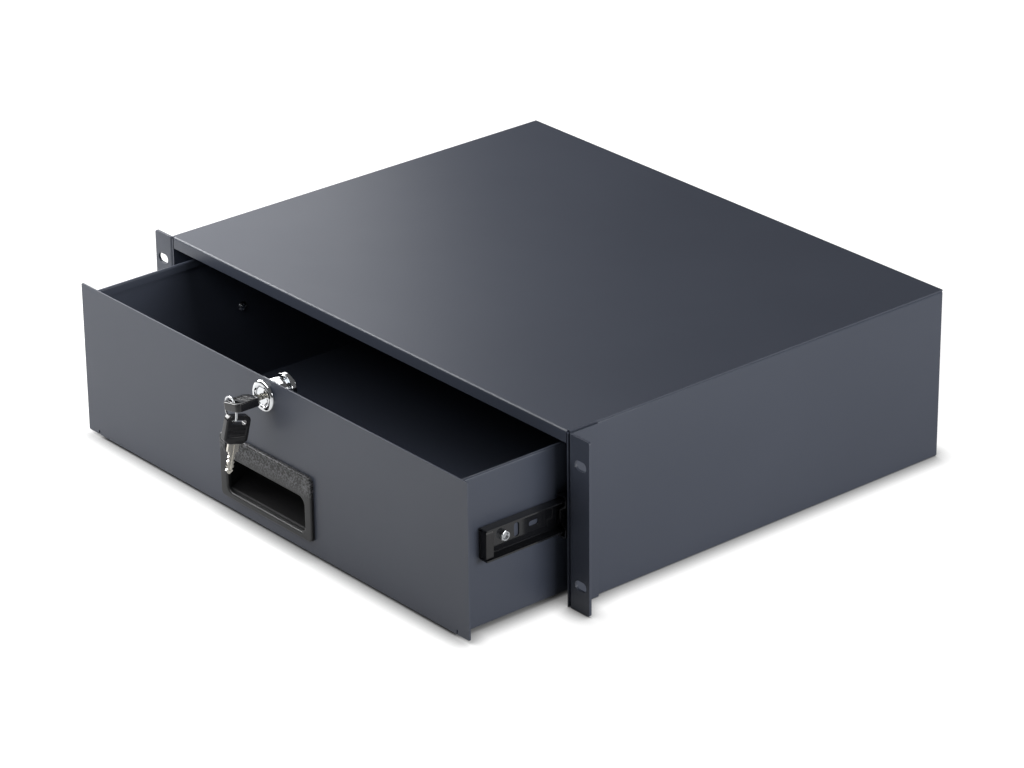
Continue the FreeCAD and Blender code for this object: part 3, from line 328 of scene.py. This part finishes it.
# Moulded nylon: a plain dull black, a little lighter where the lamps graze it.
nylon = coated("black_moulded_nylon", "#131315", "#18181a", 0.5, 0.8, 0.3)
# Moulded rubber: nearly no highlight at all.
rubber = coated("black_bumper_rubber", "#0f0f10", "#151516", 0.75, 0.7, 0.4)
for side in ("right", "left"):
    eased("end_cap_" + side, "slide_end_cap_" + side, "drawer", nylon, 0.5)
    eased("bumper_" + side, "rear_bumper_" + side, "case", rubber, 0.6)

# ---- Fasteners: slide screws, studs and nuts ----
# M4 pan head steel screws with a cross recess go through the tray side and the drawer member
# into a hexagon nut; the case members hang on weld studs with the same nuts.

# Bright zinc plate: a clear, slightly blue silver that is softer than chrome.
zinc = polished("bright_zinc_plate", "#c3c6ca", 0.2, 0.5, 0.06)
FASTENER_INPUTS = ("Count", "Half Width", "First Y", "Pitch", "Level", "Facing")
FASTENERS_PER_ROW = 3


def primitive(tree, kind, height, **sizes):
    """A mesh primitive along Z moved to a height."""
    sockets = {name.replace("_", " "): size for name, size in sizes.items()}
    shape = add_node(tree, kind, sockets)
    lifted = add_node(tree, "ShaderNodeCombineXYZ", [0.0, 0.0, height])
    return add_node(tree, "GeometryNodeTransform", {"Geometry": shape, "Translation": lifted})


def both_sides(tree, given, shape):
    """A row of fasteners on each side, turned to lie along X."""
    rows = []
    for side in (1.0, -1.0):
        across = add_node(tree, "ShaderNodeMath", [given["Half Width"], side], operation="MULTIPLY")
        turn = add_node(tree, "ShaderNodeMath", [given["Facing"], side * math.pi / 2],
                        operation="MULTIPLY")
        rows.append(row_of(tree, given, shape, across, given["Level"], turn))
    return rows


# The nut's end face is a circle of this radius, as a share of the width over the flats, and
# its corners fall away from there at this angle.
END_CIRCLE = 0.475
CORNER_FALL = math.tan(math.radians(30))
# The drill is this much longer than the nut; the countersink's start and depth are shares of
# the nut's height, and its radius is a multiple of the bore's.
DRILL_LENGTH = 1.5
SINK_START, SINK_DEPTH, SINK_FLARE = 0.85, 0.2, 1.25


def nut_rows():
    """Hexagon nuts with a chamfered outer face, standing on Z = 0."""
    tree, given = new_tree("nut_rows", FASTENER_INPUTS + ("Flats", "Height", "Bore"))
    flats, height, bore = (given[name] for name in ("Flats", "Height", "Bore"))
    middle = add_node(tree, "ShaderNodeMath", [height, 0.5], operation="MULTIPLY")
    corner = add_node(tree, "ShaderNodeMath", [flats, 2 * math.cos(math.pi / 6)],
                      operation="DIVIDE")
    prism = primitive(tree, "GeometryNodeMeshCylinder", middle, Vertices=6, Radius=corner,
                      Depth=height)
    top = add_node(tree, "ShaderNodeMath", [flats, END_CIRCLE], operation="MULTIPLY")
    wider = add_node(tree, "ShaderNodeMath", [height, CORNER_FALL], operation="DIVIDE")
    foot = add_node(tree, "ShaderNodeMath", [top, wider], operation="ADD")
    chamfer = primitive(tree, "GeometryNodeMeshCone", 0.0, Vertices=48, Depth=height,
                        Radius_Top=top, Radius_Bottom=foot)
    blank = add_node(tree, "GeometryNodeMeshBoolean", {"Mesh 2": (prism, chamfer)},
                     operation="INTERSECT", solver="EXACT")
    drill = add_node(tree, "ShaderNodeMath", [height, DRILL_LENGTH], operation="MULTIPLY")
    hole = primitive(tree, "GeometryNodeMeshCylinder", middle, Vertices=40, Radius=bore,
                     Depth=drill)
    start = add_node(tree, "ShaderNodeMath", [height, SINK_START], operation="MULTIPLY")
    depth = add_node(tree, "ShaderNodeMath", [height, SINK_DEPTH], operation="MULTIPLY")
    flare = add_node(tree, "ShaderNodeMath", [bore, SINK_FLARE], operation="MULTIPLY")
    countersink = primitive(tree, "GeometryNodeMeshCone", start, Vertices=40, Depth=depth,
                            Radius_Bottom=bore, Radius_Top=flare)
    drilled = add_node(tree, "GeometryNodeMeshBoolean",
                       {"Mesh 1": blank, "Mesh 2": (hole, countersink)},
                       operation="DIFFERENCE", solver="EXACT")
    return close_tree(tree, both_sides(tree, given, drilled), zinc)


# Shares of the screw head's radius: the radius of its dome, and a bar of its cross recess.
DOME_RADIUS = 1.3
RECESS_WIDTH, RECESS_LENGTH = 0.3, 1.25


def screw_rows():
    """Pan head screws with a cross recess: head below Z = 0, shank above it."""
    tree, given = new_tree("screw_rows", FASTENER_INPUTS + ("Head Radius", "Head Height", "Radius",
                                                            "Length"))
    head_radius, head_height, radius, length = (
        given[name] for name in ("Head Radius", "Head Height", "Radius", "Length"))
    sunk = add_node(tree, "ShaderNodeMath", [head_height, -0.5], operation="MULTIPLY")
    crown = add_node(tree, "ShaderNodeMath", [head_height, -1.0], operation="MULTIPLY")
    blank = primitive(tree, "GeometryNodeMeshCylinder", sunk, Vertices=40, Radius=head_radius,
                      Depth=head_height)
    dome_radius = add_node(tree, "ShaderNodeMath", [head_radius, DOME_RADIUS],
                           operation="MULTIPLY")
    dome_centre = add_node(tree, "ShaderNodeMath", [crown, dome_radius], operation="ADD")
    dome = primitive(tree, "GeometryNodeMeshUVSphere", dome_centre, Segments=40, Rings=24,
                     Radius=dome_radius)
    head = add_node(tree, "GeometryNodeMeshBoolean", {"Mesh 2": (blank, dome)},
                    operation="INTERSECT", solver="EXACT")
    bars = []
    for shares in ((RECESS_WIDTH, RECESS_LENGTH), (RECESS_LENGTH, RECESS_WIDTH)):
        wide, high = (add_node(tree, "ShaderNodeMath", [head_radius, share], operation="MULTIPLY")
                      for share in shares)
        size = add_node(tree, "ShaderNodeCombineXYZ", [wide, high, head_height])
        bars.append(primitive(tree, "GeometryNodeMeshCube", crown, Size=size))
    head = add_node(tree, "GeometryNodeMeshBoolean", {"Mesh 1": head, "Mesh 2": tuple(bars)},
                    operation="DIFFERENCE", solver="EXACT")
    half = add_node(tree, "ShaderNodeMath", [length, 0.5], operation="MULTIPLY")
    shank = primitive(tree, "GeometryNodeMeshCylinder", half, Vertices=32, Radius=radius,
                      Depth=length)
    screw = add_node(tree, "GeometryNodeJoinGeometry", {"Geometry": (head, shank)})
    return close_tree(tree, both_sides(tree, given, screw), zinc)


def fastened(name, tree, node, body, reach_mm, facing, end_mm, sizes_mm):
    """Grow a fastener set in place of its CAD node.

    reach_mm is how far its outermost point lies past its seat, end_mm is half of its size along
    the row, and facing is 1 where its +Z points outwards and -1 where it points inwards.
    """
    low, high = (Vector(corner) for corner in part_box(node))
    values = {label: size * MM for label, size in sizes_mm.items()}
    values.update({"Count": FASTENERS_PER_ROW, "Half Width": high.x - reach_mm * MM,
                   "First Y": low.y + end_mm * MM, "Level": (low.z + high.z) / 2,
                   "Pitch": (high.y - low.y - 2 * end_mm * MM) / (FASTENERS_PER_ROW - 1),
                   "Facing": facing})
    piece = grown(name, tree, values, body, node)
    piece.data.set_sharp_from_angle(angle=math.radians(30))


NUT_FLATS = 7.0
NUT_HALF = NUT_FLATS / 2 / math.cos(math.pi / 6)
NUT_BORE = 2.05
DRAWER_NUT = 3.0
CASE_NUT = 3.2
HEAD_RADIUS = 3.8
HEAD_HEIGHT = 2.3
SHANK_RADIUS = 2.0
SHANK_LENGTH = 4.2
nut_tree = nut_rows()
fastened("drawer_nut_set", nut_tree, "drawer_nuts", "drawer", DRAWER_NUT, 1.0, NUT_HALF,
         {"Flats": NUT_FLATS, "Height": DRAWER_NUT, "Bore": NUT_BORE})
fastened("case_nut_set", nut_tree, "case_stud_nuts", "case", 0.0, -1.0, NUT_HALF,
         {"Flats": NUT_FLATS, "Height": CASE_NUT, "Bore": NUT_BORE})
fastened("drawer_screw_set", screw_rows(), "drawer_screws", "drawer", SHANK_LENGTH, 1.0,
         HEAD_RADIUS, {"Head Radius": HEAD_RADIUS, "Head Height": HEAD_HEIGHT,
                       "Radius": SHANK_RADIUS, "Length": SHANK_LENGTH})
eased("case_weld_studs", "case_studs", "case", zinc, 0.3)

# ---- Finger pull ----
# One injection moulding in black ABS that snaps into the panel. The tool is spark eroded: fine
# on the frame and in the scoop, coarser on the upper part of the sloped hood.

# Grain widths of the two skins. The real grit is finer: the coarse one is as coarse as it needs
# to be to show.
FINE_GRIT_MM = 5 / 9
COARSE_GRIT_MM = 5 / 7
GRIT_DEPTH = 0.5 * MM
# Noise values over which the coarse skin's colour turns from the painted shade of a pit to the
# painted highlight of a peak.
PIT_SHADE_NOISE, PEAK_HIGHLIGHT_NOISE = 0.44, 0.58


def moulded(name, skin, pit_shade, peak_highlight, inside_shade, coarse_from, coarse_to, front, back):
    """Plastic whose fine skin turns coarse with height, and dark and dull inwards: the dark there
    is painted shade, and the coarse skin's two tones are painted shade in its pits and painted
    highlight on its peaks.

    The skin turns coarse between two heights, and its painted inward shade deepens, as it dulls,
    between the y of front and back.
    """
    material, tree, place = new_material(name)
    position = add_node(tree, "ShaderNodeSeparateXYZ", {"Vector": place}).outputs
    coarse = add_node(tree, "ShaderNodeMapRange",
                      {"Value": position["Z"], "From Min": coarse_from, "From Max": coarse_to})
    inward_shade_and_dulling = add_node(tree, "ShaderNodeMapRange",
                    {"Value": position["Y"], "From Min": front, "From Max": back})
    fine = add_node(tree, "ShaderNodeTexNoise",
                    {"Vector": place, "Scale": noise_scale(FINE_GRIT_MM), "Detail": 2.0})
    rough = add_node(tree, "ShaderNodeTexNoise",
                     {"Vector": place, "Scale": noise_scale(COARSE_GRIT_MM), "Detail": 1.0})
    relief = add_node(tree, "ShaderNodeMix", {"Factor": coarse, "A": fine, "B": rough},
                      data_type="FLOAT")
    strength = add_node(tree, "ShaderNodeMapRange", {"Value": coarse, "To Min": 0.1, "To Max": 1.0})
    # Painted shade in the pits and painted highlight on the peaks, from the coarse relief's noise.
    level = add_node(tree, "ShaderNodeMapRange",
                     {"Value": rough, "From Min": PIT_SHADE_NOISE, "From Max": PEAK_HIGHLIGHT_NOISE})
    colour = add_node(tree, "ShaderNodeMix",
                      {"Factor": level, "A": linear(pit_shade), "B": linear(peak_highlight)}, data_type="RGBA")
    colour = add_node(tree, "ShaderNodeMix",
                      {"Factor": coarse, "A": linear(skin), "B": colour}, data_type="RGBA")
    # Painted shade: the colour darkens to near black inwards, into the scoop.
    colour = add_node(tree, "ShaderNodeMix",
                      {"Factor": inward_shade_and_dulling, "A": colour, "B": linear(inside_shade)}, data_type="RGBA")
    return finish_material(material, tree, {
        "Base Color": colour,
        "Roughness": add_node(tree, "ShaderNodeMapRange",
                              {"Value": inward_shade_and_dulling, "To Min": 0.45, "To Max": 0.8}),
        "Specular IOR Level": add_node(tree, "ShaderNodeMapRange",
                                       {"Value": inward_shade_and_dulling, "To Min": 0.5, "To Max": 0.12}),
        "Normal": add_node(tree, "ShaderNodeBump",
                           {"Height": relief, "Strength": strength, "Distance": GRIT_DEPTH})})


PANEL_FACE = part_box("front_panel")[0][1]
pull_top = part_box("finger_pull")[1][2]
# Spark-eroded ABS: a dull near-black. The grey speckle on the hood is painted highlight on the
# peaks and painted shade in the pits of its relief, and the deep black of the scoop is painted
# shade.
abs_black = moulded("black_spark_textured_abs", "#151618", "#060607", "#515255", "#08080a",
                    pull_top - 17.0 * MM, pull_top - 9.0 * MM,
                    PANEL_FACE - 0.3 * MM, PANEL_FACE + 1.2 * MM)
eased("finger_pull_moulding", "finger_pull", "drawer", abs_black, 0.35)

# ---- Cam lock ----
# Zinc die castings: a housing with a domed flange and a turned barrel, the plug with its keyway
# and a stop washer. The cam, its screw and the hexagon nut are zinc-plated steel.

# Bright decorative chrome: a hard, nearly perfect mirror that shows the lamps and dark room.
chrome = polished("bright_chrome_plate", "#d6d8da", 0.05, 4.0, 0.03)
TURNED_SIDES = 96
TURNED_BEND = math.radians(32)


def turned(name, profile, centre, body, material, node):
    """A ring turned about the line along Y through a centre; profile is (radius, y) in mm."""
    work = bmesh.new()
    rings = []
    for radius, depth in profile:
        ring = []
        for i in range(TURNED_SIDES):
            angle = 2 * math.pi * i / TURNED_SIDES
            ring.append(work.verts.new((centre.x + radius * MM * math.cos(angle),
                                        centre.y + depth * MM,
                                        centre.z + radius * MM * math.sin(angle))))
        rings.append(ring)
    for i, ring in enumerate(rings):
        other = rings[i - 1]
        for k in range(TURNED_SIDES):
            work.faces.new((other[k - 1], other[k], ring[k], ring[k - 1]))
    bmesh.ops.recalc_face_normals(work, faces=work.faces)
    mesh = bpy.data.meshes.new(name)
    work.to_mesh(mesh)
    work.free()
    for polygon in mesh.polygons:
        polygon.use_smooth = True
    mesh.set_sharp_from_angle(angle=TURNED_BEND)
    mesh.materials.append(material)
    piece = linked(name, mesh)
    bevelled(piece, 0.15, 3, TURNED_BEND)
    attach(piece, body)
    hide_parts(node)


lock_low, lock_high = (Vector(corner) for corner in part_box("lock_housing"))
lock_centre = Vector(((lock_low.x + lock_high.x) / 2, PANEL_FACE, (lock_low.z + lock_high.z) / 2))
# Radii, and distances from the panel's face, in millimetres.
FLANGE = (lock_high.x - lock_low.x) / 2 / MM
PROUD = (PANEL_FACE - lock_low.y) / MM
BARREL_END = (lock_high.y - PANEL_FACE) / MM
BARREL = 9.5
BORE = 7.05
RIM_WIDTH, RIM_EDGE = 2.6, 0.9
THREAD_START, THREAD_PITCH, THREAD_DEPTH = 6.0, 1.0, 0.35
TIP_LENGTH, TIP_CHAMFER = 1.0, 0.6
mouth = [(BORE, -PROUD + 0.9), (BORE + 0.6, -PROUD + 0.35), (BORE + 1.1, -PROUD)]
dome = [(FLANGE - RIM_WIDTH + RIM_WIDTH * math.sin(math.radians(turn)),
         -RIM_EDGE - (PROUD - RIM_EDGE) * math.cos(math.radians(turn)))
        for turn in range(0, 91, 15)]
thread = []
depth = THREAD_START
while depth < BARREL_END - 1.5 * THREAD_PITCH:
    thread += [(BARREL, depth), (BARREL - THREAD_DEPTH, depth + THREAD_PITCH / 2)]
    depth += THREAD_PITCH
tip = [(BARREL, BARREL_END - TIP_LENGTH), (BARREL - TIP_CHAMFER, BARREL_END)]
turned("lock_housing_casting",
       [(BORE, BARREL_END)] + mouth + dome + [(FLANGE, 0.0), (BARREL, 0.0)] + thread + tip,
       lock_centre, "drawer", chrome, "lock_housing")
eased("lock_plug_casting", "lock_plug", "plug", chrome, 0.18)
eased("stop_washer_disc", "stop_washer", "plug", chrome, 0.3)
eased("lock_nut_hexagon", "lock_nut", "drawer", zinc, 0.3)
eased("lock_cam_arm", "lock_cam", "plug", zinc, 0.2)
eased("cam_screw_body", "cam_screw", "plug", zinc, 0.15)

# ---- Keys and split ring ----
# Brass blades, milled, cut and nickel-plated, moulded into ABS bows from a polished tool. The
# ring is two turns of chromed spring wire lying side by side.

# Glossy ABS: black with sharp small highlights along the ribs and edges.
bow_black = coated("glossy_black_abs", "#101013", "#141417", 0.22, 2.0, 0.15)
# Nickel on brass: a warm silver, satin from the cutter marks under it.
nickel = polished("nickel_plated_brass", "#d9d5cb", 0.16, 0.5, 0.08)
for key in ("key", "spare_key"):
    eased(key + "_moulded_bow", key + "_bow", key, bow_black, 0.3)
    eased(key + "_cut_blade", key + "_blade", key, nickel, 0.12)

# Sides of the coil around the ring and of the wire's section, the wire's half width and half
# thickness as multiples of a quarter of the ring's thickness, and the angle over which one turn
# steps over to the next.
COIL_SIDES, WIRE_SIDES = 72, 12
WIRE_WIDE, WIRE_THICK = 1.6, 0.94
STEP = math.radians(70)


def coil(name, centre, axis, radius, ring_mm, turns, body, material, node):
    """Flat wire wound in two close turns about an axis, with a short steep step between them."""
    quarter = ring_mm * MM / 4
    sideways = axis.cross(Vector((0, 0, 1))).normalized()
    upward = sideways.cross(axis)
    points = []
    for i in range(COIL_SIDES * turns + 1):
        angle = 2 * math.pi * i / COIL_SIDES
        step = min(max((angle - 2 * math.pi) / STEP + 0.5, 0.0), 1.0)
        outward = sideways * math.cos(angle) + upward * math.sin(angle)
        middle = centre + outward * radius + axis * ((2 * step - 1) * quarter)
        for k in range(WIRE_SIDES):
            turn = 2 * math.pi * (k + 0.5) / WIRE_SIDES
            points.append(middle + outward * WIRE_WIDE * quarter * math.cos(turn)
                          + axis * WIRE_THICK * quarter * math.sin(turn))
    last = len(points) - WIRE_SIDES
    faces = [(i + k, i + (k + 1) % WIRE_SIDES, i + WIRE_SIDES + (k + 1) % WIRE_SIDES,
              i + WIRE_SIDES + k) for i in range(0, last, WIRE_SIDES) for k in range(WIRE_SIDES)]
    faces += [tuple(range(WIRE_SIDES))[::-1], tuple(last + k for k in range(WIRE_SIDES))]
    mesh = bpy.data.meshes.new(name)
    mesh.from_pydata(points, [], faces)
    work = bmesh.new()
    work.from_mesh(mesh)
    bmesh.ops.recalc_face_normals(work, faces=work.faces)
    work.to_mesh(mesh)
    work.free()
    for polygon in mesh.polygons:
        polygon.use_smooth = len(polygon.vertices) == 4
    mesh.materials.append(material)
    piece = linked(name, mesh)
    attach(piece, body)
    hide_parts(node)


ring_swing = next(joint for joint in frame["joints"] if joint["name"] == "ring_swing")
ring_low, ring_high = (Vector(corner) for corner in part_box("split_ring"))
RING_MM = 1.6
coil("split_ring_coil", (ring_low + ring_high) / 2, Vector(ring_swing["axis"]),
     (ring_high.z - ring_low.z) / 2 - RING_MM * MM / 2, RING_MM, 2, "ring", chrome, "split_ring")

# ---- Floor, light and camera ----
# A sheet of pale paper that looks white but keeps the shade close to the case, in a dim room
# with a white backdrop. Near the case that shade is painted: the paper's glow dims with ambient
# occlusion there. Soft boxes stand left, front left and right, and a small strip in front.
CASE_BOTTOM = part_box("case_shell")[0][2]
SHADE_REACH = 16.0 * MM
SHADE_POWER = 2.2
# Plain matt paper: it shows no grain, only the shade, which near the case is painted on its glow.
floor_paper, tree, place = new_material("pale_floor_paper")
rays = add_node(tree, "ShaderNodeLightPath").outputs
mirrored = add_node(tree, "ShaderNodeMath", [rays["Is Glossy Ray"], rays["Is Transmission Ray"]],
                    operation="MAXIMUM")
seen = add_node(tree, "ShaderNodeMath", [rays["Is Camera Ray"], mirrored], operation="MAXIMUM")
# Painted shade: the paper's glow dims with ambient occlusion close to the case.
near = add_node(tree, "ShaderNodeAmbientOcclusion", {"Distance": SHADE_REACH}).outputs["AO"]
painted_contact_shade = add_node(tree, "ShaderNodeMath", [near, SHADE_POWER], operation="POWER")
tint = add_node(tree, "ShaderNodeMix", {"Factor": rays["Is Camera Ray"], "A": linear("#d4d4d4"),
                                        "B": linear("#8f8f8f")}, data_type="RGBA")
paper = add_node(tree, "ShaderNodeBsdfDiffuse", {"Color": tint})
white = add_node(tree, "ShaderNodeMix", {"Factor": mirrored, "A": linear("#f5f5f5"),
                                         "B": linear("#7c7c7c")}, data_type="RGBA")
lit = add_node(tree, "ShaderNodeMath", [seen, painted_contact_shade], operation="MULTIPLY")
glow = add_node(tree, "ShaderNodeEmission", {"Color": white, "Strength": lit})
both = add_node(tree, "ShaderNodeAddShader", [paper, glow])
add_node(tree, "ShaderNodeOutputMaterial", {"Surface": both})
bpy.ops.mesh.primitive_plane_add(size=14.0, location=(0.0, 0.0, CASE_BOTTOM))
floor = bpy.context.object
floor.name = "floor"
floor.data.materials.append(floor_paper)

ROOM, BACKDROP = 0.12, 1.0
world = bpy.data.worlds.new("studio")
bpy.context.scene.world = world
world.use_nodes = True
tree = world.node_tree
tree.nodes.clear()
rays = add_node(tree, "ShaderNodeLightPath").outputs
seen = add_node(tree, "ShaderNodeMath", [rays["Is Camera Ray"], rays["Is Transmission Ray"]],
                operation="MAXIMUM")
room, backdrop = (add_node(tree, "ShaderNodeBackground",
                           {"Color": linear("#ffffff"), "Strength": strength})
                  for strength in (ROOM, BACKDROP))
both = add_node(tree, "ShaderNodeMixShader", [seen, room, backdrop])
add_node(tree, "ShaderNodeOutputWorld", {"Surface": both})


def softbox(name, place, target, width, height, watts):
    """A rectangular lamp at a place, facing a target point."""
    lamp = bpy.data.lights.new(name, "AREA")
    lamp.shape = "RECTANGLE"
    lamp.size = width
    lamp.size_y = height
    lamp.energy = watts
    holder = bpy.data.objects.new(name, lamp)
    holder.visible_camera = False
    bpy.context.scene.collection.objects.link(holder)
    facing = (Vector(target) - Vector(place)).to_track_quat("-Z", "Y")
    holder.matrix_world = Matrix.Translation(place) @ facing.to_matrix().to_4x4()


softbox("left_softbox", place=(-0.95, 0.33, 0.47), target=(-0.1, 0.0, 0.05),
        width=0.75, height=0.6, watts=2.55)
softbox("front_left_softbox", place=(-0.95, -0.15, 0.5), target=(-0.1, 0.0, 0.05),
        width=0.6, height=0.6, watts=13.8)
softbox("front_strip", place=(-0.15, -0.3, 0.4), target=(-0.1, -0.1, 0.0),
        width=0.5, height=0.2, watts=1.6)
softbox("right_softbox", place=(1.5, 0.3, 0.55), target=(0.1, 0.0, 0.0),
        width=0.8, height=0.6, watts=19.0)

# The camera stands off the object's right front corner, a little above, with a long lens.
AZIMUTH = math.radians(49.91)
ELEVATION = math.radians(24.90)
ROLL = math.radians(-0.58)
DISTANCE = 2.916
SIDE_SHIFT = 0.1046
LIFT = 0.0800
SENSOR = 36.0
LENS = 145.09
back = Vector((math.sin(AZIMUTH) * math.cos(ELEVATION), -math.cos(AZIMUTH) * math.cos(ELEVATION),
               math.sin(ELEVATION)))
right = Vector((0, 0, 1)).cross(back).normalized()
up = back.cross(right)
level_right = right * math.cos(ROLL) + up * math.sin(ROLL)
level_up = up * math.cos(ROLL) - right * math.sin(ROLL)
camera = bpy.data.objects.new("camera", bpy.data.cameras.new("camera"))
camera.data.sensor_width = SENSOR
camera.data.lens = LENS
camera.matrix_world = (
    Matrix.Translation(back * DISTANCE + level_right * SIDE_SHIFT + level_up * LIFT
                       + Vector((0, 0, CASE_BOTTOM)))
    @ Matrix((level_right, level_up, back)).transposed().to_4x4())
bpy.context.scene.collection.objects.link(camera)
bpy.context.scene.camera = camera
bpy.context.scene.view_settings.view_transform = "Standard"
